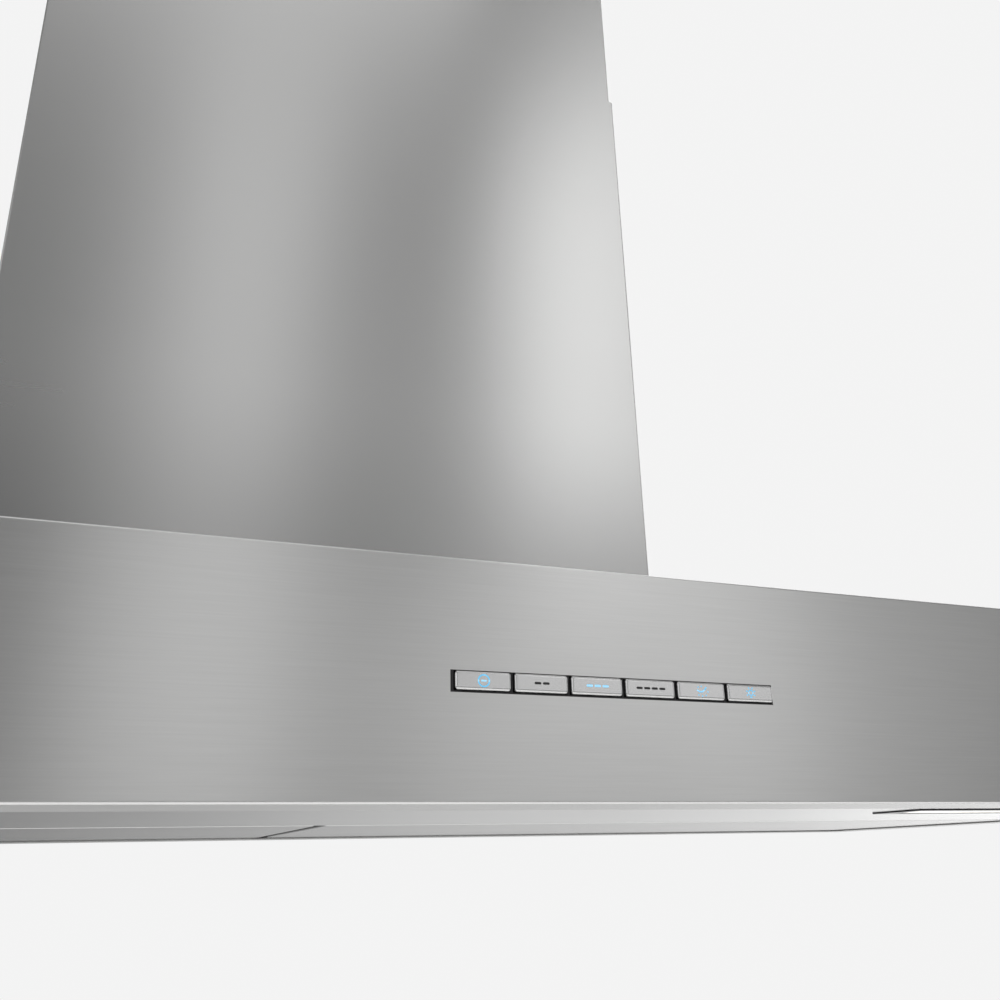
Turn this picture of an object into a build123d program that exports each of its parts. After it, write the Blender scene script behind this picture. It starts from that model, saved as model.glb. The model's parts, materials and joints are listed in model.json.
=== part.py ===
from build123d import *
import os
from math import cos, sin, radians

os.makedirs("parts", exist_ok=True)

# ---------------------------------------------------------------- dimensions
# Millimetres. X to the right seen from the front, +Y into the wall, +Z up.
# The wall plane is Y = 0 and Z = 0 is half way up the canopy.

# canopy
hood_w = 1200.0             # width over the side faces
hood_d = 490.0              # front face to wall
hood_h = 102.0              # height of the front face
sheet = 1.0                 # sheet thickness
fold_r = 1.2                # outside radius of the folds
front_return = 46.0         # bottom flange behind the front face
side_return = 32.0          # bottom flange inside each side face
rear_return = 30.0          # bottom flange of the rear panel
z_bot = -hood_h / 2
z_top = hood_h / 2
y_front = -hood_d

# wall bolts in the rear panel
wall_bolt_x = 800.0
wall_bolt_z = 50.0
wall_bolt_r = 4.0

# button strip in the front face
strip_x = 82.6              # its centre, right of the middle of the hood
strip_z = -2.0              # height of its centre
btn_pitch = 26.5
btn_w = 24.9
btn_h = 7.8
btn_proud = 1.6             # caps stand out of the front face
slot_w = 159.6
slot_x = strip_x - 0.65      # the slot shows more below and left of the caps
slot_z = strip_z - 0.25
slot_h = 9.2
icon_depth = 0.4

# lamps in the light panel
lamp_x = 379.0
lamp_y = y_front + 91.0
lamp_w = 140.0              # over the bezel, along the hood
lamp_d = 42.0               # over the bezel, front to back
lamp_rim = 5.0              # bezel flange outside the panel's hole
lamp_rim_t = 0.8            # bezels stand below the light panel

# light panel and filters, distances from the front face turned into Y
panel_y0 = y_front + 15.0
panel_y1 = y_front + 225.0
filt_x0 = 3.0
filt_x1 = hood_w / 2 - side_return - 7.0
filt_y0 = panel_y1 + 7.0
filt_y1 = -37.0
filt_z0 = z_bot + sheet     # underside of the flat suction panels
tray_h = 8.0                # their turned-up rim
frame_inset = 14.0          # filter frame inside the rim
frame_z0 = filt_z0 + tray_h
filt_z1 = frame_z0 + 14.0
filt_rail = 14.0
pivot_y = -42.0
pivot_z = frame_z0 + 6.0
pin_r = 2.0
baffle_w = 28.0
baffle_pitch = 44.0
baffle_rows = 12
baffle_t = 0.8

# blower
box_x = 126.0
box_y0 = -258.0
box_y1 = -48.0
box_z1 = 285.0
fan_y = -153.0
fan_z = 150.0
fan_r = 70.0
fan_half = 57.0
blade_count = 36
scroll_half = 62.0
scroll_wall = 2.2

# duct collar and damper
duct_r = 75.0
collar_z0 = box_z1
collar_z1 = collar_z0 + 55.0
damper_z = collar_z0 + 20.0
flap_r = 72.0

# chimney covers
low_x = 215.0
low_y = -300.0
low_z1 = 525.0
cover_gap = 0.8
up_x = low_x - sheet - cover_gap
up_y = low_y + sheet + cover_gap
up_z0 = 330.0
up_z1 = 810.0
bracket_z = 785.0

# cable entry in the canopy top
cable_x = 100.0
cable_y = -24.0
cable_r = 7.5


def slab(x0, x1, y0, y1, z0, z1, mode=Mode.ADD):
    """Straight block between two corners."""
    with Locations(((x0 + x1) / 2, (y0 + y1) / 2, (z0 + z1) / 2)):
        Box(abs(x1 - x0), abs(y1 - y0), abs(z1 - z0), mode=mode)


def rod_x(x0, x1, y, z, r, mode=Mode.ADD):
    with Locations(((x0 + x1) / 2, y, z)):
        Cylinder(r, abs(x1 - x0), rotation=(0, 90, 0), mode=mode)


def rod_y(x, y0, y1, z, r, mode=Mode.ADD):
    with Locations((x, (y0 + y1) / 2, z)):
        Cylinder(r, abs(y1 - y0), rotation=(90, 0, 0), mode=mode)


def rod_z(x, y, z0, z1, r, mode=Mode.ADD):
    with Locations((x, y, (z0 + z1) / 2)):
        Cylinder(r, abs(z1 - z0), mode=mode)


def lamp_block(x, inset, z0, z1, mode=Mode.ADD):
    """Block at a lamp, its sides inset from the outside of the bezel."""
    slab(x - lamp_w / 2 + inset, x + lamp_w / 2 - inset,
         lamp_y - lamp_d / 2 + inset, lamp_y + lamp_d / 2 - inset, z0, z1, mode)


def save(builder, name):
    builder.part.label = name
    export_step(builder.part, "parts/" + name + ".step")


# screw places shared by the sheets they join
blower_screws = [(sx * 130.0, y) for sx in (-1, 1) for y in (-240.0, -153.0, -66.0)]
tab_screws = [(sx * (low_x - 5.5), y) for sx in (-1, 1) for y in (-250.0, -60.0)]
collar_screws = [(84.0 * cos(radians(a)), fan_y + 84.0 * sin(radians(a))) for a in (0, 90, 180, 270)]
board_screws = [(strip_x + sx * 85.0, strip_z + dz) for sx in (-1, 1) for dz in (-9.5, 9.5)]
stud_places = [(strip_x - 99.0, strip_z), (strip_x + 99.0, strip_z)]
button_x = [strip_x + (i - 2.5) * btn_pitch for i in range(6)]

# ------------------------------------------------------------- canopy shell
# One folded sheet: front face, two sides, top and three bottom returns.
with BuildPart() as canopy_shell:
    slab(-hood_w / 2, hood_w / 2, y_front, 0, z_bot, z_top)
    fillet(canopy_shell.edges().filter_by_position(Axis.Y, y_front - 1, -1), fold_r)
    slab(-hood_w / 2 + sheet, hood_w / 2 - sheet, y_front + sheet, 1, z_bot + sheet, z_top - sheet, Mode.SUBTRACT)
    # underside opening inside the returns
    slab(-hood_w / 2 + side_return, hood_w / 2 - side_return, y_front + front_return, 1,
         z_bot - 1, z_bot + sheet + 0.5, Mode.SUBTRACT)
    # air opening below the blower
    slab(-118, 118, -250, -54, z_top - sheet - 1, z_top + 1, Mode.SUBTRACT)
    # cable hole
    rod_z(cable_x, cable_y, z_top - 3, z_top + 2, 11.0, Mode.SUBTRACT)
    # button slot
    with BuildSketch(Plane.XZ.offset(hood_d + 1)):
        with Locations((slot_x, slot_z)):
            Rectangle(slot_w, slot_h)
    extrude(amount=-4, mode=Mode.SUBTRACT)
    for sx, sy in blower_screws + tab_screws:
        rod_z(sx, sy, z_top - 3, z_top + 2, 1.7, Mode.SUBTRACT)
save(canopy_shell, "canopy_shell")

# --------------------------------------------------------------- rear panel
with BuildPart() as rear_panel:
    slab(-hood_w / 2 + 1.2, hood_w / 2 - 1.2, -sheet, 0, z_bot + 1.1, z_top - 1.1)
    slab(-hood_w / 2 + side_return + 0.5, hood_w / 2 - side_return - 0.5, -sheet, 0, z_bot, z_bot + 2)
    slab(-hood_w / 2 + side_return + 0.5, hood_w / 2 - side_return - 0.5, -rear_return, 0, z_bot, z_bot + sheet)
    for sx in (-1, 1):
        for sz in (-1, 1):
            rod_y(sx * wall_bolt_x / 2, -2, 1, sz * wall_bolt_z / 2, wall_bolt_r, Mode.SUBTRACT)
save(rear_panel, "rear_panel")

# -------------------------------------------------------------- light panel
with BuildPart() as light_panel:
    slab(-hood_w / 2 + 2, hood_w / 2 - 2, panel_y0, panel_y1, z_bot + sheet, z_bot + 2 * sheet)
    slab(-hood_w / 2 + side_return + 1, hood_w / 2 - side_return - 1, panel_y1 - sheet, panel_y1,
         z_bot + sheet, z_bot + 20)
    for sx in (-1, 1):
        lamp_block(sx * lamp_x, lamp_rim, z_bot - 1, z_bot + 4, Mode.SUBTRACT)
save(light_panel, "light_panel")

# ---------------------------------------------------- filter bar and fittings
# Inverted channel above the joint between the two suction panels. Its walls hold the inner hinge pins
# in rounded ears, and its top runs back to the rear panel.
with BuildPart() as filter_divider:
    rod_x(-9.5, 9.5, pivot_y, pivot_z, 5.0)
    slab(-9.5, 9.5, panel_y1, pivot_y, pivot_z - 5, z_bot + 22)
    slab(-9.5, 9.5, pivot_y, pivot_y + 5, pivot_z, z_bot + 22)
    slab(-8, 8, panel_y1 - 1, 1, pivot_z - 6, z_bot + 21, Mode.SUBTRACT)
    slab(-9.5, 9.5, panel_y1, -sheet, z_bot + 21, z_bot + 22)
    rod_x(-12, 12, pivot_y, pivot_z, pin_r + 0.1, Mode.SUBTRACT)
save(filter_divider, "filter_divider")

with BuildPart() as filter_hinge_brackets:
    for sx in (-1, 1):
        slab(sx * (filt_x1 - 12), sx * (filt_x1 + 10.5), -29, -5, z_bot + sheet, z_bot + 2 * sheet)
        slab(sx * (filt_x1 + 9), sx * (filt_x1 + 10.5), -48, -5, z_bot + sheet, z_bot + 22)
    rod_x(-filt_x1 - 14, filt_x1 + 14, pivot_y, pivot_z, pin_r + 0.1, Mode.SUBTRACT)
save(filter_hinge_brackets, "filter_hinge_brackets")

# Bent leaf springs on the light panel's lip that grip the front rims of the suction panels.
with BuildPart() as filter_catches:
    for cx in (-430.0, -150.0, 150.0, 430.0):
        with BuildSketch(Plane.YZ.offset(cx - 9)):
            with BuildLine():
                Polyline((panel_y1 + 0.25, z_bot + 19), (panel_y1 + 0.25, z_bot + 13), (panel_y1 + 6.0, z_bot + 8),
                         (panel_y1 + 2.5, z_bot + 4))
            trace(line_width=0.5)
        extrude(amount=18)
save(filter_catches, "filter_catches")

# ------------------------------------------------------------------ filters
# Each filter hangs with a flat suction panel below it; air is drawn in round the panel's edge.
for side, sx in (("left", -1), ("right", 1)):
    xa, xb = sorted((sx * filt_x0, sx * filt_x1))
    xc = (xa + xb) / 2
    fa, fb = xa + frame_inset, xb - frame_inset
    fy0, fy1 = filt_y0 + frame_inset, filt_y1 - 1
    with BuildPart() as filter_panel:
        slab(xa, xb, filt_y0, filt_y1, filt_z0, frame_z0)
        fillet(filter_panel.edges().filter_by(Axis.Z), 4)
        fillet(filter_panel.edges().group_by(Axis.Z)[0], 0.8)
        slab(xa + 1, xb - 1, filt_y0 + 1, filt_y1 - 1, filt_z0 + 1, frame_z0 + 1, Mode.SUBTRACT)
        for px in (fa + 30, xc, fb - 30):
            for py in (fy0 + 7, fy1 - 7):
                rod_z(px, py, filt_z0 + 0.5, frame_z0, 4.0)
    save(filter_panel, "filter_" + side + "_panel")

    with BuildPart() as filter_frame:
        slab(fa, fb, fy0, fy1, frame_z0, filt_z1)
        fillet(filter_frame.edges().filter_by(Axis.Z), 3)
        slab(fa + 1, fb - 1, fy0 + 1, fy1 - 1, frame_z0 + 1, filt_z1 - 1, Mode.SUBTRACT)
        slab(fa + filt_rail, fb - filt_rail, fy0 + filt_rail, fy1 - filt_rail,
             frame_z0 - 1, filt_z1 + 1, Mode.SUBTRACT)
    save(filter_frame, "filter_" + side + "_frame")

    # Lower channels open upwards, upper channels hang over the gaps between them.
    with BuildPart() as filter_baffles:
        with BuildSketch(Plane.XZ.offset(-(fy1 - 1.2))):
            for k in range(baffle_rows):
                bx = xc + (k - (baffle_rows - 1) / 2) * baffle_pitch
                with Locations((bx, frame_z0 + 1 + baffle_t / 2)):
                    Rectangle(baffle_w, baffle_t)
                with Locations((bx - baffle_w / 2 + baffle_t / 2, frame_z0 + 3.5),
                               (bx + baffle_w / 2 - baffle_t / 2, frame_z0 + 3.5)):
                    Rectangle(baffle_t, 5.0)
            for k in range(baffle_rows - 1):
                bx = xc + (k - (baffle_rows - 2) / 2) * baffle_pitch
                with Locations((bx, filt_z1 - 1 - baffle_t / 2)):
                    Rectangle(baffle_w, baffle_t)
                with Locations((bx - baffle_w / 2 + baffle_t / 2, filt_z1 - 3.5),
                               (bx + baffle_w / 2 - baffle_t / 2, filt_z1 - 3.5)):
                    Rectangle(baffle_t, 5.0)
        extrude(amount=(fy1 - 1.2) - (fy0 + 1.2))
    save(filter_baffles, "filter_" + side + "_baffles")

    with BuildPart() as filter_pins:
        rod_x(sx * 6.0, sx * (filt_x0 + frame_inset), pivot_y, pivot_z, pin_r)
        rod_x(sx * (filt_x1 - frame_inset), sx * (filt_x1 + 12), pivot_y, pivot_z, pin_r)
    save(filter_pins, "filter_" + side + "_pins")

# ----------------------------------------------------------- control carrier
# Guide block behind the slot, with one straight channel for each cap.
with BuildPart() as control_carrier:
    slab(strip_x - 92, strip_x + 92, y_front + sheet, y_front + 14, strip_z - 13, strip_z + 13)
    slab(slot_x - slot_w / 2 + 0.3, slot_x + slot_w / 2 - 0.3, y_front + 0.5, y_front + 2,
         slot_z - slot_h / 2 + 0.2, strip_z + btn_h / 2 + 0.2)
    for px, pz in stud_places:
        slab(px - 8, px + 8, y_front + sheet, y_front + 4, pz - 6, pz + 6)
        rod_y(px, y_front, y_front + 6, pz, 2.2, Mode.SUBTRACT)
    for bx in button_x:
        slab(bx - btn_w / 2 - 0.2, bx + btn_w / 2 + 0.2, y_front - 1, y_front + 20,
             strip_z - btn_h / 2 - 0.2, strip_z + btn_h / 2 + 0.2, Mode.SUBTRACT)
    for px, pz in board_screws:
        slab(px - 2.8, px + 2.8, y_front + 13, y_front + 21, pz - 2.8, pz + 2.8)
        rod_y(px, y_front + 15, y_front + 22, pz, 1.25, Mode.SUBTRACT)
save(control_carrier, "control_carrier")

# ------------------------------------------------------ button caps and icons
cap_front = y_front - btn_proud
for n in range(6):
    bx = button_x[n]
    with BuildSketch(Plane.XZ.offset(-cap_front)) as icon_face:
        with Locations((bx, strip_z)):
            if n == 0:
                Circle(2.75)
                Circle(2.1, mode=Mode.SUBTRACT)
                Rectangle(2.4, 0.75)
            elif n in (1, 2, 3):
                with GridLocations(3.85, 1, n + 1, 1):
                    SlotOverall(3.15, 1.05)
            elif n == 4:
                with BuildLine():
                    Polyline(*[(bx + dx, strip_z + dz) for dx, dz in
                               ((-2.6, 0.3), (-1.1, -0.5), (0.35, -0.4), (1.5, 0.5), (2.4, 1.7))])
                trace(line_width=0.7)
                with Locations((-1.9, 1.55), (-0.2, 2.0), (3.15, -0.4), (-1.8, -2.0), (0.1, -2.4), (2.05, -2.0)):
                    Circle(0.35)
            else:
                with Locations((0, 0.1)):
                    Circle(1.45)
                    Circle(0.9, mode=Mode.SUBTRACT)
                with Locations((0, -1.95)):
                    Rectangle(1.2, 0.6)
                for a in (-30, 18, 66, 114, 162, 210):
                    with Locations((2.25 * cos(radians(a)), 0.1 + 2.25 * sin(radians(a)))):
                        SlotOverall(1.05, 0.55, rotation=a)
    with BuildPart() as button_cap:
        slab(bx - btn_w / 2, bx + btn_w / 2, cap_front, y_front + 14.2, strip_z - btn_h / 2, strip_z + btn_h / 2)
        fillet(button_cap.edges().filter_by(Axis.Y), 1.3)
        fillet(button_cap.edges().filter_by_position(Axis.Y, cap_front - 0.1, cap_front + 0.1), 1.15)
        slab(bx - 12.9, bx + 12.9, y_front + 14.2, y_front + 15.4, strip_z - 5.9, strip_z + 5.9)
        extrude(icon_face.sketch, amount=-icon_depth, mode=Mode.SUBTRACT)
    save(button_cap, "button_" + str(n + 1) + "_cap")
    with BuildPart() as button_icon:
        extrude(icon_face.sketch, amount=-icon_depth)
    save(button_icon, "button_" + str(n + 1) + "_icon")

# ------------------------------------------------- control board and switches
with BuildPart() as control_board:
    slab(strip_x - 91, strip_x + 91, y_front + 21, y_front + 22.6, strip_z - 13, strip_z + 13)
    for px, pz in board_screws:
        rod_y(px, y_front + 20, y_front + 24, pz, 1.3, Mode.SUBTRACT)
    slab(strip_x - 20, strip_x + 20, y_front + 22.6, y_front + 28.6, strip_z - 8, strip_z - 3)
    slab(strip_x - 52, strip_x - 38, y_front + 22.6, y_front + 24.8, strip_z - 4, strip_z + 6)
save(control_board, "control_board")

with BuildPart() as push_switches:
    for bx in button_x:
        slab(bx - 3, bx + 3, y_front + 17.4, y_front + 21, strip_z - 3, strip_z + 3)
        rod_y(bx, y_front + 16.6, y_front + 17.6, strip_z, 1.7)
save(push_switches, "push_switches")

with BuildPart() as control_fixings:
    for px, pz in board_screws:
        rod_y(px, y_front + 16, y_front + 22.7, pz, 1.2)
        rod_y(px, y_front + 22.6, y_front + 24.6, pz, 2.4)
    for px, pz in stud_places:
        rod_y(px, y_front + sheet, y_front + 10, pz, 2.0)
        with BuildSketch(Plane.XZ.offset(-(y_front + 4))):
            with Locations((px, pz)):
                RegularPolygon(4.0, 6)
        extrude(amount=-3.2)
save(control_fixings, "control_fixings")

# -------------------------------------------------------------------- lamps
for side, sx in (("left", -1), ("right", 1)):
    lx = sx * lamp_x
    with BuildPart() as lamp_bezel:
        lamp_block(lx, 0, z_bot + sheet - lamp_rim_t, z_bot + sheet)
        fillet(lamp_bezel.edges().filter_by(Axis.Z), 3.0)
        fillet(lamp_bezel.edges().group_by(Axis.Z)[0], 0.3)
        lamp_block(lx, lamp_rim + 0.4, z_bot + sheet, z_bot + 23)
        lamp_block(lx, lamp_rim + 2.0, z_bot + sheet, z_bot + 24, Mode.SUBTRACT)
        lamp_block(lx, lamp_rim + 4.5, z_bot - 2, z_bot + 3, Mode.SUBTRACT)
    save(lamp_bezel, "lamp_" + side + "_bezel")
    # Stepped lens that rests on the bezel's inner ledge and fills its window.
    with BuildPart() as lamp_lens:
        lamp_block(lx, lamp_rim + 2.4, z_bot + sheet, z_bot + sheet + 3)
        lamp_block(lx, lamp_rim + 4.8, z_bot + sheet - lamp_rim_t + 0.3, z_bot + sheet + 0.1)
        fillet(lamp_lens.edges().group_by(Axis.Z)[0], 0.3)
    save(lamp_lens, "lamp_" + side + "_lens")

with BuildPart() as lamp_led_boards:
    for sx in (-1, 1):
        lamp_block(sx * lamp_x, lamp_rim + 4.0, z_bot + 11, z_bot + 12.6)
        with Locations((sx * lamp_x, lamp_y, z_bot + 10.7)):
            with GridLocations(13, 10, 9, 2):
                Box(3, 3, 0.8)
save(lamp_led_boards, "lamp_led_boards")

with BuildPart() as lamp_heat_sinks:
    for sx in (-1, 1):
        lamp_block(sx * lamp_x, lamp_rim + 3.0, z_bot + 12.6, z_bot + 17)
        for k in range(9):
            fx = sx * lamp_x + (k - 4) * 14.0
            slab(fx - 0.9, fx + 0.9, lamp_y - 12.5, lamp_y + 12.5, z_bot + 16.8, z_bot + 36)
save(lamp_heat_sinks, "lamp_heat_sinks")

# --------------------------------------------------------------- blower box
with BuildPart() as blower_box:
    slab(-box_x, box_x, box_y0, box_y1, z_top, box_z1)
    fillet(blower_box.edges().filter_by(Axis.Z), 2)
    slab(-box_x - 8, box_x + 8, box_y0 - 8, box_y1 + 8, z_top, z_top + sheet)
    slab(-box_x + sheet, box_x - sheet, box_y0 + sheet, box_y1 - sheet, z_top - 1, box_z1 - sheet, Mode.SUBTRACT)
    rod_z(0, fan_y, box_z1 - 4, box_z1 + 2, 72.0, Mode.SUBTRACT)
    for px, py in blower_screws:
        rod_z(px, py, z_top - 1, z_top + 3, 1.7, Mode.SUBTRACT)
    for px, py in collar_screws:
        rod_z(px, py, box_z1 - 3, box_z1 + 1, 1.7, Mode.SUBTRACT)
save(blower_box, "blower_box")

# ------------------------------------------------------------ scroll housing
# Spiral wall round the wheel that opens upwards into the collar.
spiral = [(-28, 79.0), (0, 80.5), (45, 83.5), (90, 87.0), (135, 91.0), (180, 96.0)]
mouth_z = box_z1 - sheet - 1.0


def spiral_points(cut):
    return [(fan_y + (r - cut) * cos(radians(a)), fan_z - (r - cut) * sin(radians(a))) for a, r in spiral]


with BuildSketch(Plane.YZ) as scroll_outer:
    with BuildLine():
        outer_curve = Spline(*spiral_points(0))
        Polyline(outer_curve @ 1, (fan_y - 96.0, fan_z + 62.0), (fan_y - 70.0, mouth_z),
                 (fan_y + 70.0, mouth_z), outer_curve @ 0)
    make_face()
with BuildSketch(Plane.YZ) as scroll_inner:
    with BuildLine():
        inner_curve = Spline(*spiral_points(scroll_wall))
        Polyline(inner_curve @ 1, (fan_y - 96.0 + scroll_wall, fan_z + 61.5), (fan_y - 68.6, mouth_z + 4),
                 (fan_y + 67.8, mouth_z + 4), inner_curve @ 0)
    make_face()
for side, sx in (("left", -1), ("right", 1)):
    with BuildPart() as scroll_housing:
        extrude(scroll_outer.sketch, amount=sx * scroll_half)
        extrude(scroll_inner.sketch, amount=sx * (scroll_half - scroll_wall), mode=Mode.SUBTRACT)
        rod_x(sx * (scroll_half - 1), sx * (scroll_half + 4), fan_y, fan_z, 60.0)
        rod_x(sx * (scroll_half - 8), sx * (scroll_half + 6), fan_y, fan_z, 56.0, Mode.SUBTRACT)
    save(scroll_housing, "scroll_" + side)

with BuildPart() as outlet_gasket:
    slab(-scroll_half - 4, scroll_half + 4, fan_y - 75, fan_y + 75, mouth_z, box_z1 - sheet)
    slab(-scroll_half + scroll_wall, scroll_half - scroll_wall, fan_y - 67, fan_y + 67,
         mouth_z - 1, box_z1, Mode.SUBTRACT)
save(outlet_gasket, "outlet_gasket")

# ------------------------------------------------------------ motor and wheel
with BuildPart() as motor_body:
    rod_x(-80, -14, fan_y, fan_z, 40.0)
    fillet(motor_body.edges().filter_by(GeomType.CIRCLE), 4)
    rod_x(-90, 0, fan_y, fan_z, 4.6, Mode.SUBTRACT)
    rod_x(-81, -74, fan_y, fan_z, 9.0, Mode.SUBTRACT)
    rod_x(-20, -13, fan_y, fan_z, 9.0, Mode.SUBTRACT)
save(motor_body, "motor_body")

with BuildPart() as motor_bearings:
    for xa, xb in ((-80, -74), (-20, -14)):
        rod_x(xa, xb, fan_y, fan_z, 9.0)
    rod_x(-90, 0, fan_y, fan_z, 4.05, Mode.SUBTRACT)
save(motor_bearings, "motor_bearings")

with BuildPart() as motor_bracket:
    with BuildSketch(Plane.YZ.offset(-scroll_half - 6)):
        with Locations((fan_y, fan_z)):
            Circle(46)
            with PolarLocations(60, 3, start_angle=30):
                Rectangle(30, 12)
            Circle(40, mode=Mode.SUBTRACT)
    extrude(amount=2)
    with BuildSketch(Plane.YZ.offset(-scroll_half - 4)):
        with Locations((fan_y, fan_z)):
            with PolarLocations(69, 3, start_angle=30):
                Rectangle(11, 12)
    extrude(amount=4)
save(motor_bracket, "motor_bracket")

with BuildPart() as motor_shaft:
    rod_x(-86, 16, fan_y, fan_z, 4.0)
    chamfer(motor_shaft.edges().filter_by(GeomType.CIRCLE), 0.5)
save(motor_shaft, "motor_shaft")

with BuildPart() as impeller_hub:
    rod_x(-8, 12, fan_y, fan_z, 11.0)
    rod_x(0, 2.5, fan_y, fan_z, 20.0)
    rod_x(-10, 14, fan_y, fan_z, 4.0, Mode.SUBTRACT)
save(impeller_hub, "impeller_hub")

with BuildPart() as impeller_wheel:
    with BuildSketch(Plane.YZ.offset(-fan_half)):
        with Locations((fan_y, fan_z)):
            with PolarLocations(fan_r - 5.5, blade_count):
                Rectangle(10.5, 0.9, rotation=32)
    extrude(amount=2 * fan_half)
    for xa, xb in ((-fan_half, -fan_half + 2), (fan_half - 2, fan_half)):
        with BuildSketch(Plane.YZ.offset(xa)):
            with Locations((fan_y, fan_z)):
                Circle(fan_r)
                Circle(fan_r - 11, mode=Mode.SUBTRACT)
        extrude(amount=2)
    with BuildSketch(Plane.YZ.offset(-2)):
        with Locations((fan_y, fan_z)):
            Circle(fan_r - 1)
            Circle(11, mode=Mode.SUBTRACT)
    extrude(amount=2)
save(impeller_wheel, "impeller_wheel")

# ------------------------------------------------------- duct collar and damper
with BuildPart() as duct_collar:
    rod_z(0, fan_y, collar_z0, collar_z0 + 1.2, 90.0)
    rod_z(0, fan_y, collar_z0, collar_z1, duct_r)
    rod_z(0, fan_y, collar_z0 - 1, damper_z - 2.6, duct_r - 1, Mode.SUBTRACT)
    rod_z(0, fan_y, damper_z - 3, damper_z, duct_r - 4, Mode.SUBTRACT)
    rod_z(0, fan_y, damper_z - 1, collar_z1 + 1, duct_r - 1, Mode.SUBTRACT)
    rod_y(0, fan_y - 80, fan_y + 80, damper_z, 2.05, Mode.SUBTRACT)
    for px, py in collar_screws:
        rod_z(px, py, collar_z0 - 1, collar_z0 + 3, 1.7, Mode.SUBTRACT)
save(duct_collar, "duct_collar")

with BuildPart() as damper_rod:
    rod_y(0, fan_y - 74.7, fan_y + 74.7, damper_z, 2.0)
save(damper_rod, "damper_rod")

knuckles = {"left": ((-55, -35), (5, 25)), "right": ((-25, -5), (35, 55))}
for side, sx in (("left", -1), ("right", 1)):
    with BuildPart() as damper_flap:
        rod_z(0, fan_y, damper_z - 0.5, damper_z + 0.5, flap_r)
        slab(sx * -4.2, sx * -80, fan_y - 80, fan_y + 80, damper_z - 2, damper_z + 2, Mode.SUBTRACT)
        slab(-4.2, 4.2, fan_y - 80, fan_y + 80, damper_z - 2, damper_z + 2, Mode.SUBTRACT)
        for ya, yb in knuckles[side]:
            slab(sx * 2.6, sx * 5.0, fan_y + ya, fan_y + yb, damper_z - 0.5, damper_z + 0.5)
            rod_y(0, fan_y + ya, fan_y + yb, damper_z, 3.7)
        rod_y(0, fan_y - 80, fan_y + 80, damper_z, 2.1, Mode.SUBTRACT)
    save(damper_flap, "damper_flap_" + side)

# ------------------------------------------------------------ power box, bushing
with BuildPart() as power_box:
    slab(170, 295, -125, -40, -5, 42)
    fillet(power_box.edges().filter_by(Axis.Z), 4)
    slab(172, 293, -123, -42, -6, 40, Mode.SUBTRACT)
    for px in (180, 285):
        for py in (-115, -50):
            rod_z(px, py, 42, z_top - sheet, 4.0)
    rod_x(168, 173, -82, 18, 6.0, Mode.SUBTRACT)
save(power_box, "power_box")

with BuildPart() as power_box_lid:
    slab(170, 295, -125, -40, -7, -5)
    fillet(power_box_lid.edges().filter_by(Axis.Z), 4)
save(power_box_lid, "power_box_lid")

with BuildPart() as power_board:
    slab(175, 290, -120, -45, 34, 35.6)
    slab(182, 216, -112, -84, 6, 34)
    slab(224, 244, -114, -99, 18, 34)
    slab(224, 244, -94, -79, 18, 34)
    slab(250, 286, -66, -50, 20, 34)
    for px in (180, 285):
        for py in (-115, -50):
            rod_z(px, py, 35.6, 40.0, 2.5)
save(power_board, "power_board")

with BuildPart() as motor_capacitor:
    rod_x(182, 240, -62, 14, 14.0)
    fillet(motor_capacitor.edges().filter_by(GeomType.CIRCLE), 1.5)
    rod_x(239.5, 246, -66, 14, 1.2)
    rod_x(239.5, 246, -58, 14, 1.2)
save(motor_capacitor, "motor_capacitor")

with BuildPart() as cable_bushing:
    rod_z(cable_x, cable_y, z_top - 5, z_top + 7, 10.9)
    rod_z(cable_x, cable_y, z_top, z_top + 2.5, 14.0)
    rod_z(cable_x, cable_y, z_top - sheet - 3, z_top - sheet, 14.0)
    rod_z(cable_x, cable_y, z_top - 8, z_top + 10, cable_r, Mode.SUBTRACT)
save(cable_bushing, "cable_bushing")

# -------------------------------------------------------------- chimney covers
# Sheet channels, open towards the wall; the upper one runs inside the lower one.
with BuildPart() as chimney_lower_cover:
    slab(-low_x, low_x, low_y, 0, z_top, low_z1)
    fillet(chimney_lower_cover.edges().filter_by(Axis.Z).filter_by_position(Axis.Y, low_y - 1, low_y + 1), fold_r)
    slab(-low_x + sheet, low_x - sheet, low_y + sheet, 1, z_top - 1, low_z1 + 1, Mode.SUBTRACT)
    for sx in (-1, 1):
        slab(sx * (low_x - 12), sx * (low_x - 0.5), -sheet, 0, z_top, low_z1)
    for px, py in tab_screws:
        s = 1 if px > 0 else -1
        slab(s * (low_x - 10), s * (low_x - 0.5), py - 10, py + 10, z_top, z_top + sheet)
        rod_z(px, py, z_top - 1, z_top + 3, 1.7, Mode.SUBTRACT)
save(chimney_lower_cover, "chimney_lower_cover")

with BuildPart() as chimney_upper_cover:
    slab(-up_x, up_x, up_y, -1.5, up_z0, up_z1)
    fillet(chimney_upper_cover.edges().filter_by(Axis.Z).filter_by_position(Axis.Y, up_y - 1, up_y + 1), fold_r)
    slab(-up_x + sheet, up_x - sheet, up_y + sheet, 1, up_z0 - 1, up_z1 + 1, Mode.SUBTRACT)
    for sx in (-1, 1):
        slab(sx * (up_x - 11.2), sx * (up_x - 0.5), -1.5 - sheet, -1.5, up_z0, up_z1)
    with BuildSketch(Plane.YZ.offset(-up_x - 5)):
        with Locations((up_y / 2, 735)):
            with GridLocations(1, 13, 1, 6):
                SlotOverall(90, 5)
    extrude(amount=2 * up_x + 10, mode=Mode.SUBTRACT)
    rod_x(-up_x - 5, up_x + 5, -30, bracket_z, 2.0, Mode.SUBTRACT)
save(chimney_upper_cover, "chimney_upper_cover")

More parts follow.
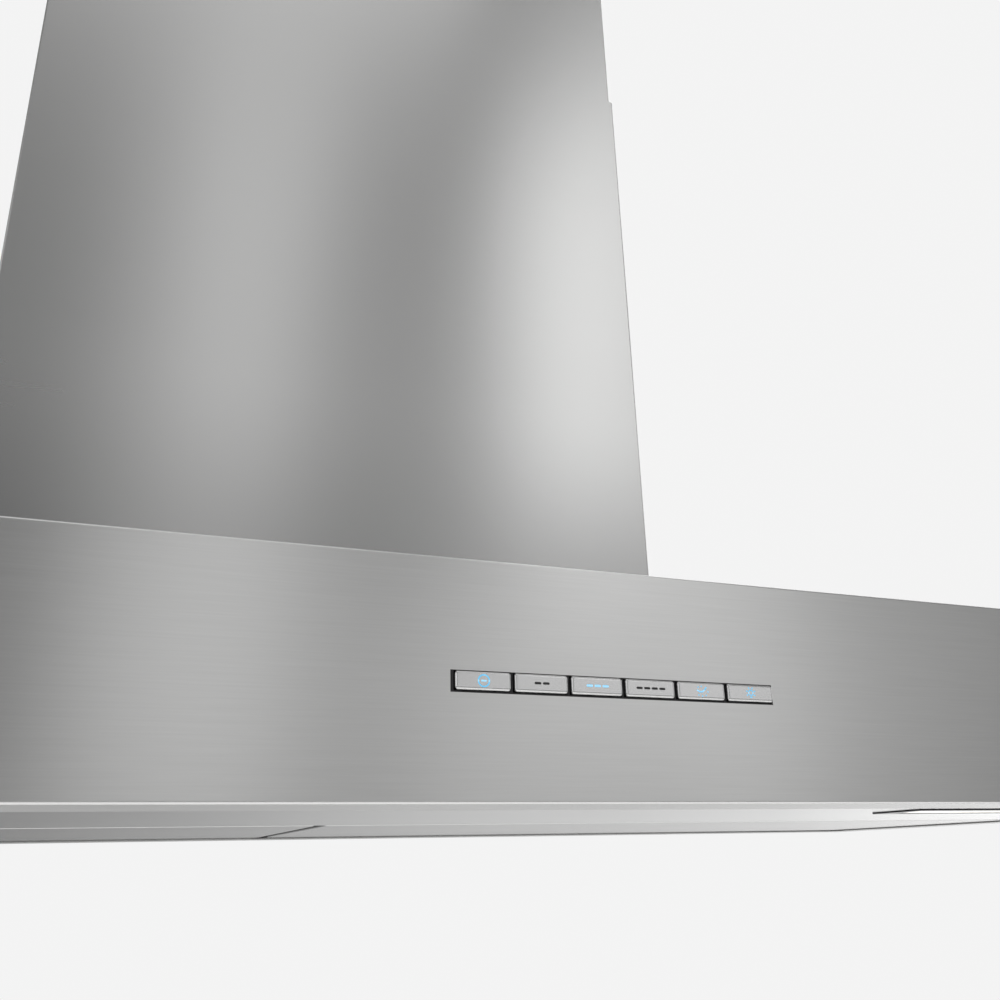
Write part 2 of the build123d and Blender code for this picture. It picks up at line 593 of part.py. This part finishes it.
with BuildPart() as upper_wall_bracket:
    with BuildSketch(Plane.XY.offset(bracket_z - 15)):
        with BuildLine():
            bracket_line = Polyline(
                (-(up_x - 1.75), -40), (-(up_x - 1.75), -11), (-(up_x - 13), -11), (-(up_x - 13), -0.75),
                (up_x - 13, -0.75), (up_x - 13, -11), (up_x - 1.75, -11), (up_x - 1.75, -40))
        trace(line_width=1.5)
    extrude(amount=30)
    rod_x(-up_x - 5, up_x + 5, -30, bracket_z, 2.0, Mode.SUBTRACT)
    for sx in (-1, 1):
        rod_y(sx * 80.0, -4, 2, bracket_z, 3.5, Mode.SUBTRACT)
save(upper_wall_bracket, "upper_wall_bracket")

with BuildPart() as bracket_screws:
    for sx in (-1, 1):
        rod_x(sx * (up_x - 6), sx * (up_x + 0.5), -30, bracket_z, 1.8)
        rod_x(sx * up_x, sx * (up_x + 2.0), -30, bracket_z, 3.6)
    fillet(bracket_screws.edges().filter_by(GeomType.CIRCLE).sort_by(Axis.X)[:1], 0.8)
    fillet(bracket_screws.edges().filter_by(GeomType.CIRCLE).sort_by(Axis.X)[-1:], 0.8)
    for sx in (-1, 1):
        for wy, wz in ((2.2, 0.45), (0.45, 2.2)):
            slab(sx * (up_x + 1.1), sx * (up_x + 3), -30 - wy, -30 + wy, bracket_z - wz, bracket_z + wz, Mode.SUBTRACT)
save(bracket_screws, "bracket_screws")

# ---------------------------------------------------------------- body screws
# Pan heads with a cross recess.
with BuildPart() as body_screws:
    for px, py in blower_screws + tab_screws:
        rod_z(px, py, z_top - 6, z_top + 1.2, 1.6)
        rod_z(px, py, z_top + sheet, z_top + sheet + 2.2, 3.2)
    for px, py in collar_screws:
        rod_z(px, py, collar_z0 - 4, collar_z0 + 1.4, 1.6)
        rod_z(px, py, collar_z0 + 1.2, collar_z0 + 3.4, 3.2)
    for head_z in (z_top + sheet + 2.2, collar_z0 + 3.4):
        fillet(body_screws.edges().filter_by(GeomType.CIRCLE).filter_by_position(Axis.Z, head_z - 0.1, head_z + 0.1), 0.9)
    for places, head_z in ((blower_screws + tab_screws, z_top + sheet + 2.2), (collar_screws, collar_z0 + 3.4)):
        for px, py in places:
            for wx, wy in ((2.0, 0.4), (0.4, 2.0)):
                slab(px - wx, px + wx, py - wy, py + wy, head_z - 1.1, head_z + 1, Mode.SUBTRACT)
save(body_screws, "body_screws")
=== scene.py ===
import json
import math

import bpy
import bmesh
from mathutils import Matrix, Vector

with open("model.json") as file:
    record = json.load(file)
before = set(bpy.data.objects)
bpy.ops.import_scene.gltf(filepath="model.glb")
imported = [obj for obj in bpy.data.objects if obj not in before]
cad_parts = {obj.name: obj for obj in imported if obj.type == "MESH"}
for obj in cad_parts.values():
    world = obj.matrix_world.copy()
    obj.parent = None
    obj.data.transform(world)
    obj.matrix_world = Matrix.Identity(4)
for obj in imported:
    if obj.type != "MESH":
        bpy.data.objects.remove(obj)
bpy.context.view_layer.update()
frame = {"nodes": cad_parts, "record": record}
nodes = frame["nodes"]
slot_of = {s["node"]: s["material_slot"] for s in frame["record"]["subparts"]}
scene = bpy.context.scene
scene.view_settings.view_transform = "Standard"
scene.view_settings.look = "None"


# ------------------------------------------------------------------ node helpers
class Mat:
    """A material with a few short ways to add nodes to it."""

    def __init__(self, name):
        self.m = bpy.data.materials.new(name)
        self.m.use_nodes = True
        self.t = self.m.node_tree
        self.p = next(n for n in self.t.nodes if n.type == "BSDF_PRINCIPLED")
        self._obj = None

    def put(self, **values):
        for key, value in values.items():
            self.p.inputs[key.replace("_", " ")].default_value = value
        return self

    def node(self, kind, **props):
        n = self.t.nodes.new(kind)
        for k, v in props.items():
            setattr(n, k, v)
        return n

    def link(self, a, b):
        self.t.links.new(a, b)

    def feed(self, socket, value):
        if isinstance(value, (int, float)):
            socket.default_value = value
        elif isinstance(value, (tuple, list)):
            socket.default_value = value
        else:
            self.link(value, socket)

    def coords(self):
        """Position in the part's own frame, in metres."""
        if self._obj is None:
            self._obj = self.node("ShaderNodeTexCoord")
        return self._obj.outputs["Object"]

    def normal(self):
        if self._obj is None:
            self.coords()
        return self._obj.outputs["Normal"]

    def xyz(self, v):
        n = self.node("ShaderNodeSeparateXYZ")
        self.feed(n.inputs[0], v)
        return n.outputs[0], n.outputs[1], n.outputs[2]

    def join(self, x, y, z):
        n = self.node("ShaderNodeCombineXYZ")
        for i, v in enumerate((x, y, z)):
            self.feed(n.inputs[i], v)
        return n.outputs[0]

    def math(self, op, a, b=0.0, c=0.0, clamp=False):
        n = self.node("ShaderNodeMath", operation=op, use_clamp=clamp)
        for i, v in enumerate((a, b, c)):
            self.feed(n.inputs[i], v)
        return n.outputs[0]

    def vmath(self, op, a, b=None):
        n = self.node("ShaderNodeVectorMath", operation=op)
        self.feed(n.inputs[0], a)
        if b is not None:
            self.feed(n.inputs[1], b)
        return n.outputs[0]

    def scaled(self, v, s):
        return self.vmath("MULTIPLY", v, s)

    def vmix(self, f, a, b):
        n = self.node("ShaderNodeMix", data_type="VECTOR")
        self.feed(n.inputs[0], f)
        self.feed(n.inputs[4], a)
        self.feed(n.inputs[5], b)
        return n.outputs[1]

    def mix(self, f, a, b, blend="MIX"):
        n = self.node("ShaderNodeMix", data_type="RGBA", blend_type=blend)
        self.feed(n.inputs[0], f)
        for i, v in ((6, a), (7, b)):
            if isinstance(v, (tuple, list)) and len(v) == 3:
                v = (*v, 1.0)
            self.feed(n.inputs[i], v)
        return n.outputs[2]

    def noise(self, v, scale=1.0, detail=2.0, rough=0.5, distort=0.0):
        n = self.node("ShaderNodeTexNoise")
        self.feed(n.inputs["Vector"], v)
        n.inputs["Scale"].default_value = scale
        n.inputs["Detail"].default_value = detail
        n.inputs["Roughness"].default_value = rough
        n.inputs["Distortion"].default_value = distort
        return n.outputs[0]

    def span(self, f, lo, hi, to_lo, to_hi, smooth=False):
        n = self.node("ShaderNodeMapRange")
        if smooth:
            n.interpolation_type = "SMOOTHSTEP"
        self.feed(n.inputs["Value"], f)
        n.inputs["From Min"].default_value = lo
        n.inputs["From Max"].default_value = hi
        n.inputs["To Min"].default_value = to_lo
        n.inputs["To Max"].default_value = to_hi
        return n.outputs["Result"]

    def ramp(self, f, *stops):
        n = self.node("ShaderNodeValToRGB")
        r = n.color_ramp
        while len(r.elements) < len(stops):
            r.elements.new(0.5)
        for e, (pos, col) in zip(r.elements, stops):
            e.position = pos
            e.color = (*col, 1.0) if len(col) == 3 else col
        self.feed(n.inputs[0], f)
        return n.outputs[0]

    def bump(self, height, strength, distance, normal=None):
        n = self.node("ShaderNodeBump")
        n.inputs["Strength"].default_value = strength
        n.inputs["Distance"].default_value = distance
        self.feed(n.inputs["Height"], height)
        if normal is not None:
            self.feed(n.inputs["Normal"], normal)
        return n.outputs[0]

    def to(self, key, value):
        self.feed(self.p.inputs[key], value)
        return self


def brushed(name, base, rough, aniso, lines=1300.0, along=26.0, tone=0.028, grain="X", dirt=0.02, vary=0.014,
            relief=0.03, painted_foot_shade=None):
    """Sheet steel with a fine linear brushing. grain names the axis that the brushing follows on
    faces that aren't square to it; those faces are brushed along the next axis. The last argument gives two heights
    and a tone: painted shade darkens the steel's colour to that tone at the lower height, where it meets another sheet,
    and fades out by the upper height."""
    m = Mat(name)
    c = m.coords()
    nx, ny, nz = m.xyz(m.normal())
    square = m.math("GREATER_THAN", m.math("ABSOLUTE", nx if grain == "X" else ny), 0.72)
    one = (along, lines, lines) if grain == "X" else (lines, along, lines)
    two = (lines, along, lines) if grain == "X" else (along, lines, lines)
    v = m.scaled(c, m.vmix(square, one, two))
    fine = m.noise(v, 1.0, 1.5, 0.55)
    v2 = m.scaled(v, (0.35, 0.35, 0.35))
    broad = m.noise(v2, 1.0, 2.0, 0.5)
    cloud = m.noise(c, 5.5, 3.0, 0.55)
    streak = m.math("ADD", m.math("MULTIPLY", fine, 0.65), m.math("MULTIPLY", broad, 0.35))
    shade = m.math("ADD", m.span(streak, 0.25, 0.75, 1.0 - tone, 1.0 + tone), m.span(cloud, 0.3, 0.7, -dirt, dirt))
    if painted_foot_shade:
        # painted shade: the colour darkens towards the lower height, a contact shadow painted where the part meets the
        # sheet below
        shade = m.math("MULTIPLY", shade, m.span(m.xyz(c)[2], painted_foot_shade[0], painted_foot_shade[1], painted_foot_shade[2], 1.0, smooth=True))
    m.to("Base Color", m.mix(1.0, base, m.join(shade, shade, shade), "MULTIPLY"))
    buffed = m.math("MULTIPLY", m.math("LESS_THAN", nz, -0.72), -0.05)
    m.to("Roughness", m.math("ADD", m.math("ADD", m.span(streak, 0.25, 0.75, rough - vary, rough + vary),
                                           m.span(cloud, 0.3, 0.7, -0.8 * vary, 0.8 * vary)), buffed))
    if relief:
        m.to("Normal", m.bump(broad, relief, 0.0003))
    brush = m.vmix(square, (1.0, 0.0, 0.0) if grain == "X" else (0.0, 1.0, 0.0),
                   (0.0, 1.0, 0.0) if grain == "X" else (1.0, 0.0, 0.0))
    geo = m.node("ShaderNodeNewGeometry")
    m.to("Tangent", m.vmath("NORMALIZE", m.vmath("CROSS_PRODUCT", brush, geo.outputs["Normal"])))
    m.put(Metallic=1.0, Anisotropic=aniso)
    return m.m


def plastic(name, base, rough, speckle=0.15, scale=900.0, bump=0.12):
    m = Mat(name)
    c = m.coords()
    fine = m.noise(c, scale, 2.0, 0.6)
    cloud = m.noise(c, 14.0, 3.0, 0.5)
    shade = m.math("ADD", m.span(fine, 0.3, 0.7, 1.0 - speckle, 1.0 + speckle), m.span(cloud, 0.3, 0.7, -0.08, 0.08))
    m.to("Base Color", m.mix(1.0, base, m.join(shade, shade, shade), "MULTIPLY"))
    m.to("Roughness", m.math("ADD", m.span(fine, 0.3, 0.7, rough - 0.06, rough + 0.06), m.span(cloud, 0.3, 0.7, -0.05, 0.05)))
    m.to("Normal", m.bump(fine, bump, 0.0002))
    return m.m


def galvanised(name):
    m = Mat(name)
    c = m.coords()
    warp = m.vmath("ADD", c, m.scaled(m.node_color_noise(c, 30.0), (0.012, 0.012, 0.012)))
    v = m.node("ShaderNodeTexVoronoi", feature="F1")
    m.feed(v.inputs["Vector"], warp)
    v.inputs["Scale"].default_value = 85.0
    cell = m.xyz(v.outputs["Color"])[0]
    fine = m.noise(c, 420.0, 3.0, 0.6)
    cloud = m.noise(c, 6.0, 3.0, 0.5)
    shade = m.math("ADD", m.span(cell, 0.0, 1.0, 0.80, 1.12), m.span(cloud, 0.3, 0.7, -0.06, 0.06))
    shade = m.math("ADD", shade, m.span(fine, 0.3, 0.7, -0.04, 0.04))
    m.to("Base Color", m.mix(1.0, (0.50, 0.52, 0.54), m.join(shade, shade, shade), "MULTIPLY"))
    m.to("Roughness", m.math("ADD", m.span(cell, 0.0, 1.0, 0.34, 0.50), m.span(cloud, 0.3, 0.7, -0.04, 0.06)))
    m.to("Normal", m.bump(fine, 0.06, 0.0002))
    m.put(Metallic=1.0)
    return m.m


def _color_noise(self, v, scale):
    n = self.node("ShaderNodeTexNoise")
    self.feed(n.inputs["Vector"], v)
    n.inputs["Scale"].default_value = scale
    n.inputs["Detail"].default_value = 2.0
    return self.vmath("SUBTRACT", n.outputs[1], (0.5, 0.5, 0.5))


Mat.node_color_noise = _color_noise


def lit_symbol(name):
    m = Mat(name)
    c = m.coords()
    glow = m.noise(c, 650.0, 2.0, 0.5)
    m.to("Base Color", m.ramp(glow, (0.2, (0.03, 0.16, 0.30)), (0.8, (0.05, 0.22, 0.38))))
    m.to("Roughness", m.span(glow, 0.3, 0.7, 0.28, 0.42))
    # paler along the middle of the strip, where the diodes are
    core = m.span(m.math("ABSOLUTE", m.math("ADD", m.xyz(c)[2], 0.002)), 0.0001, 0.0006, 1.0, 0.0, smooth=True)
    blue = m.ramp(glow, (0.25, (0.13, 0.49, 0.76)), (0.75, (0.20, 0.60, 0.88)))
    m.to("Emission Color", m.mix(core, blue, (0.46, 0.80, 1.0)))
    m.put(Emission_Strength=0.85)
    return m.m


def dark_symbol(name):
    m = Mat(name)
    fine = m.noise(m.coords(), 1500.0, 2.0, 0.5)
    m.to("Base Color", m.ramp(fine, (0.2, (0.010, 0.010, 0.011)), (0.8, (0.026, 0.026, 0.028))))
    m.to("Roughness", m.span(fine, 0.3, 0.7, 0.35, 0.55))
    return m.m


def frosted_lens(name):
    m = Mat(name)
    c = m.coords()
    fine = m.noise(c, 1800.0, 2.0, 0.6)
    cloud = m.noise(c, 60.0, 2.0, 0.5)
    m.to("Base Color", m.ramp(cloud, (0.2, (0.86, 0.85, 0.80)), (0.8, (0.93, 0.92, 0.88))))
    m.to("Roughness", m.span(fine, 0.3, 0.7, 0.30, 0.48))
    m.to("Normal", m.bump(fine, 0.15, 0.0002))
    # soft glow of the two rows of diodes behind the lens
    x, y, z = m.xyz(c)
    across = m.math("COSINE", m.math("MULTIPLY", m.math("SUBTRACT", m.math("ABSOLUTE", x), 0.379), 2 * math.pi / 0.013))
    along = m.math("COSINE", m.math("MULTIPLY", m.math("ADD", y, 0.394), 2 * math.pi / 0.010))
    spot = m.math("MULTIPLY", m.span(across, -1.0, 1.0, 0.0, 1.0), m.span(along, -1.0, 1.0, 0.0, 1.0))
    spot = m.math("ADD", m.math("MULTIPLY", spot, 0.85), m.math("MULTIPLY", cloud, 0.15))
    m.to("Emission Color", m.ramp(spot, (0.0, (0.66, 0.63, 0.57)), (1.0, (1.0, 0.98, 0.93))))
    m.put(Emission_Strength=1.25)
    return m.m


def led_board(name):
    m = Mat(name)
    c = m.coords()
    fine = m.noise(c, 700.0, 2.0, 0.6)
    m.to("Base Color", m.ramp(fine, (0.25, (0.78, 0.77, 0.72)), (0.75, (0.88, 0.87, 0.83))))
    m.to("Roughness", m.span(fine, 0.3, 0.7, 0.4, 0.6))
    m.to("Emission Color", m.ramp(fine, (0.25, (1.0, 0.93, 0.80)), (0.75, (1.0, 0.97, 0.90))))
    m.put(Emission_Strength=1.4)
    return m.m


def circuit_board(name):
    m = Mat(name)
    c = m.coords()
    brick = m.node("ShaderNodeTexBrick")
    m.feed(brick.inputs["Vector"], m.join(m.xyz(c)[0], m.xyz(c)[2], 0.0))
    brick.inputs["Scale"].default_value = 260.0
    brick.inputs["Mortar Size"].default_value = 0.08
    brick.inputs["Color1"].default_value = (0.012, 0.10, 0.045, 1)
    brick.inputs["Color2"].default_value = (0.016, 0.13, 0.055, 1)
    brick.inputs["Mortar"].default_value = (0.035, 0.22, 0.09, 1)
    fine = m.noise(c, 500.0, 2.0, 0.6)
    m.to("Base Color", m.mix(m.span(fine, 0.4, 0.8, 0.0, 0.35), brick.outputs["Color"], (0.02, 0.16, 0.07)))
    m.to("Roughness", m.span(fine, 0.3, 0.7, 0.25, 0.42))
    m.to("Normal", m.bump(brick.outputs["Fac"], 0.2, 0.0001))
    m.put(Coat_Weight=0.4, Coat_Roughness=0.15)
    return m.m


def cast_metal(name, base, rough, scale=260.0, metal=1.0):
    m = Mat(name)
    c = m.coords()
    fine = m.noise(c, scale, 4.0, 0.6)
    cloud = m.noise(c, 18.0, 3.0, 0.5)
    shade = m.math("ADD", m.span(fine, 0.3, 0.7, 0.93, 1.07), m.span(cloud, 0.3, 0.7, -0.06, 0.06))
    m.to("Base Color", m.mix(1.0, base, m.join(shade, shade, shade), "MULTIPLY"))
    m.to("Roughness", m.math("ADD", m.span(fine, 0.3, 0.7, rough - 0.06, rough + 0.06), m.span(cloud, 0.3, 0.7, -0.04, 0.04)))
    m.to("Normal", m.bump(fine, 0.10, 0.0003))
    m.put(Metallic=metal)
    return m.m


# ------------------------------------------------------------------- materials
steel = (0.62, 0.62, 0.615)
finish = {
    "stainless_brushed": brushed("stainless_brushed", steel, 0.285, 0.75, tone=0.038, vary=0.008, relief=0.008),
    "stainless_polished": brushed("stainless_polished", (0.66, 0.66, 0.655), 0.22, 0.45, lines=1100.0, tone=0.016),
    "button_steel": brushed("button_steel", (0.64, 0.64, 0.64), 0.27, 0.55, lines=1100.0, along=50.0, tone=0.007, vary=0.004,
                            relief=0.0),
    "icon_lit": lit_symbol("icon_lit"),
    "icon_dark": dark_symbol("icon_dark"),
    "galvanised": galvanised("galvanised"),
    "black_plastic": plastic("black_plastic", (0.017, 0.017, 0.018), 0.50),
    "grey_plastic": plastic("grey_plastic", (0.20, 0.205, 0.21), 0.48, speckle=0.06),
    "circuit_board": circuit_board("circuit_board"),
    "aluminium_plain": cast_metal("aluminium_plain", (0.74, 0.75, 0.76), 0.36),
    "lamp_glass": frosted_lens("lamp_glass"),
    "led_white": led_board("led_white"),
    "motor_paint": cast_metal("motor_paint", (0.045, 0.046, 0.05), 0.42, scale=500.0, metal=0.0),
    "dark_trim": cast_metal("dark_trim", (0.05, 0.05, 0.052), 0.20, scale=700.0),
    "zinc_screw": cast_metal("zinc_screw", (0.62, 0.62, 0.60), 0.26, scale=900.0),
    "rubber_black": plastic("rubber_black", (0.014, 0.014, 0.014), 0.72, speckle=0.2, scale=600.0),
}
# the chimney covers get painted shade at their foot: colour darkened to 0.62 at 0.051 m height, fading out by 0.23 m,
# just above the canopy
cover_steel = brushed("cover_steel", steel, 0.27, 0.58, lines=160.0, along=2.5, tone=0.003, dirt=0.006, vary=0.003,
                      relief=0.0, painted_foot_shade=(0.051, 0.23, 0.62))
panel_steel = brushed("panel_steel", (0.54, 0.54, 0.535), 0.24, 0.45, lines=1100.0, tone=0.014)
baffle_steel = brushed("baffle_steel", (0.64, 0.64, 0.635), 0.26, 0.60, lines=1300.0, grain="Y", tone=0.035)

for name, obj in nodes.items():
    obj.data.materials.clear()
    obj.data.materials.append(finish[slot_of[name]])
for side in ("left", "right"):
    nodes[f"filter_{side}_baffles"].data.materials[0] = baffle_steel
    nodes[f"filter_{side}_panel"].data.materials[0] = panel_steel
nodes["rear_panel"].data.materials[0] = finish["stainless_brushed"]
for part in ("lower", "upper"):
    nodes[f"chimney_{part}_cover"].data.materials[0] = cover_steel


# --------------------------------------------------------------------- camera
def look(yaw, pitch, roll):
    """Camera axes from a heading to the right of +Y, an upward tilt and a roll, in degrees."""
    y, p, r = (math.radians(a) for a in (yaw, pitch, roll))
    fwd = Vector((math.sin(y) * math.cos(p), math.cos(y) * math.cos(p), math.sin(p)))
    side = Vector((math.cos(y), -math.sin(y), 0.0))
    up = side.cross(fwd)
    right = math.cos(r) * side + math.sin(r) * up
    top = -math.sin(r) * side + math.cos(r) * up
    return Matrix((right, top, -fwd)).transposed()


cam_data = bpy.data.cameras.new("camera")
cam_data.sensor_width = 36.0
cam_data.lens = 35.409
cam_data.clip_start = 0.01
cam_data.clip_end = 200.0
cam = bpy.data.objects.new("camera", cam_data)
scene.collection.objects.link(cam)
cam.matrix_world = Matrix.Translation((-0.13096, -0.87403, -0.07337)) @ look(22.256, 20.263, -1.401).to_4x4()
scene.camera = cam


# ---------------------------------------------------------------------- stage
def card(name, centre, target, width, height):
    """Upright flat card that faces a point."""
    me = bpy.data.meshes.new(name)
    me.from_pydata([(-width / 2, -height / 2, 0), (width / 2, -height / 2, 0), (width / 2, height / 2, 0), (-width / 2, height / 2, 0)],
                   [], [(0, 1, 2, 3)])
    ob = bpy.data.objects.new(name, me)
    scene.collection.objects.link(ob)
    d = (Vector(target) - Vector(centre)).normalized()
    ob.matrix_world = Matrix.Translation(centre) @ d.to_track_quat("Z", "Y").to_matrix().to_4x4()
    return ob


# Pale round floor that fades into the backdrop colour towards its rim.
floor = card("floor", (0, 0, -1.6), (0, 0, 1.0), 12.0, 12.0)
fm = Mat("floor_pale")
fc = fm.coords()
fn = fm.noise(fc, 1.2, 4.0, 0.5)
fm.to("Base Color", fm.ramp(fn, (0.3, (0.78, 0.78, 0.775)), (0.7, (0.82, 0.82, 0.815))))
fm.to("Roughness", fm.span(fn, 0.3, 0.7, 0.65, 0.8))
fx, fy, fz = fm.xyz(fc)
reach = fm.math("SQRT", fm.math("ADD", fm.math("MULTIPLY", fx, fx), fm.math("MULTIPLY", fy, fy)))
fm.to("Alpha", fm.span(reach, 1.6, 5.4, 1.0, 0.0, smooth=True))
fm.put(Specular_IOR_Level=0.1)
floor.data.materials.append(fm.m)


def softbox(name, centre, target, width, height, radiance, colour=(1, 1, 1)):
    d = bpy.data.lights.new(name, "AREA")
    d.shape = "RECTANGLE"
    d.size, d.size_y = width, height
    d.energy = radiance * math.pi * width * height
    d.color = colour
    ob = bpy.data.objects.new(name, d)
    scene.collection.objects.link(ob)
    v = (Vector(target) - Vector(centre)).normalized()
    ob.matrix_world = Matrix.Translation(centre) @ (-v).to_track_quat("Z", "Y").to_matrix().to_4x4()
    ob.visible_camera = False
    return ob


middle = Vector((0.1, -0.4, 0.1))


def round_about(azimuth, elevation, distance):
    """Point seen from the middle of the hood; azimuth 0 is straight out of the front, 90 to the right."""
    a, e = math.radians(azimuth), math.radians(elevation)
    return middle + distance * Vector((math.sin(a) * math.cos(e), -math.cos(a) * math.cos(e), math.sin(e)))


# Two rows of tall soft boxes in front, so that the steel shows upright light and dark bands.
front_rows = ((-2.6, 0.50, 0.66, 0.25), (4.0, 0.68, 0.76, 0.63), (12, 0.70, 0.36, 0.10), (20, 0.70, 0.66, 0.0),
              (28, 0.70, 0.60, 1.24), (36, 0.70, 0.76, 0.80), (44, 0.70, 0.35, 0.06), (52, 0.70, 0.19, 0.08))
for i, (azimuth, width, low, high) in enumerate(front_rows):
    softbox(f"front_low_{i}", round_about(azimuth, 6, 5.0), middle, width, 1.8, low)
    if high:
        softbox(f"front_high_{i}", round_about(azimuth, 32, 5.0), middle, width, 2.6, high)
softbox("front_top", round_about(0, 62, 5.0), middle, 2.4, 2.0, 0.68)
softbox("side_right", round_about(80, 14, 5.0), middle, 2.2, 2.6, 0.9)
softbox("front_left", round_about(-45, 14, 5.0), middle, 3.4, 3.4, 0.8)
softbox("side_left", round_about(-80, 14, 5.0), middle, 2.2, 2.6, 1.2)
softbox("side_right_back", round_about(112, 12, 5.0), middle, 2.4, 2.6, 1.0)
softbox("edge_right", middle + Vector((3.1, 1.3, 4.2)), middle, 3.0, 3.0, 1.6)
softbox("overhead", middle + Vector((0.0, 0.0, 4.2)), middle, 4.0, 3.5, 0.7)
# Low curved screen behind, seen in the polished underside, brighter to the right.
screen = bpy.data.meshes.new("back_screen")
turns = [math.radians(-16.0 + 4.0 * i) for i in range(21)]
screen.from_pydata([(6.0 * math.sin(t), 6.0 * math.cos(t), h) for t in turns for h in (-0.7, 0.7)], [],
                   [(2 * i, 2 * i + 2, 2 * i + 3, 2 * i + 1) for i in range(20)])
screen_ob = bpy.data.objects.new("back_screen", screen)
scene.collection.objects.link(screen_ob)
screen_ob.location = middle + Vector((0.0, 0.0, -0.55))
screen_ob.visible_camera = False
sm = Mat("back_screen")
sx, sy, sz = sm.xyz(sm.coords())
turn = sm.span(sm.math("ARCTAN2", sx, sy), math.radians(-14.0), math.radians(63.0), 0.0, 1.0)
level = sm.ramp(turn, *[((14.0 + az) / 77.0, (v, v, v)) for az, v in
                        ((-10, 0.20), (0, 0.36), (10, 0.52), (20, 0.66), (30, 0.76), (38, 0.90), (46, 1.18), (56, 1.45))])
sm.to("Emission Color", level)
sm.put(Base_Color=(0.0, 0.0, 0.0, 1.0), Emission_Strength=1.0, Roughness=1.0, Specular_IOR_Level=0.0)
screen.materials.append(sm.m)
# Long high box behind, seen along the top folds.
softbox("back_high", middle + Vector((2.0, 4.6, 2.4)), middle + Vector((0.6, 0.0, 0.0)), 9.0, 2.4, 0.7)
# Wash over the floor only, from just above it.
softbox("floor_wash", (0.0, -0.2, -0.75), (0.0, -0.2, -1.6), 7.0, 7.0, 0.95)

world = bpy.data.worlds.new("studio")
scene.world = world
world.use_nodes = True
wt = world.node_tree
bg = next(n for n in wt.nodes if n.type == "BACKGROUND")
lp = wt.nodes.new("ShaderNodeLightPath")
wm = wt.nodes.new("ShaderNodeMix")
wm.data_type = "RGBA"
wm.inputs[6].default_value = (0.22, 0.22, 0.22, 1)
wm.inputs[7].default_value = (0.90, 0.90, 0.90, 1)
wt.links.new(lp.outputs["Is Camera Ray"], wm.inputs[0])
wt.links.new(wm.outputs[2], bg.inputs["Color"])
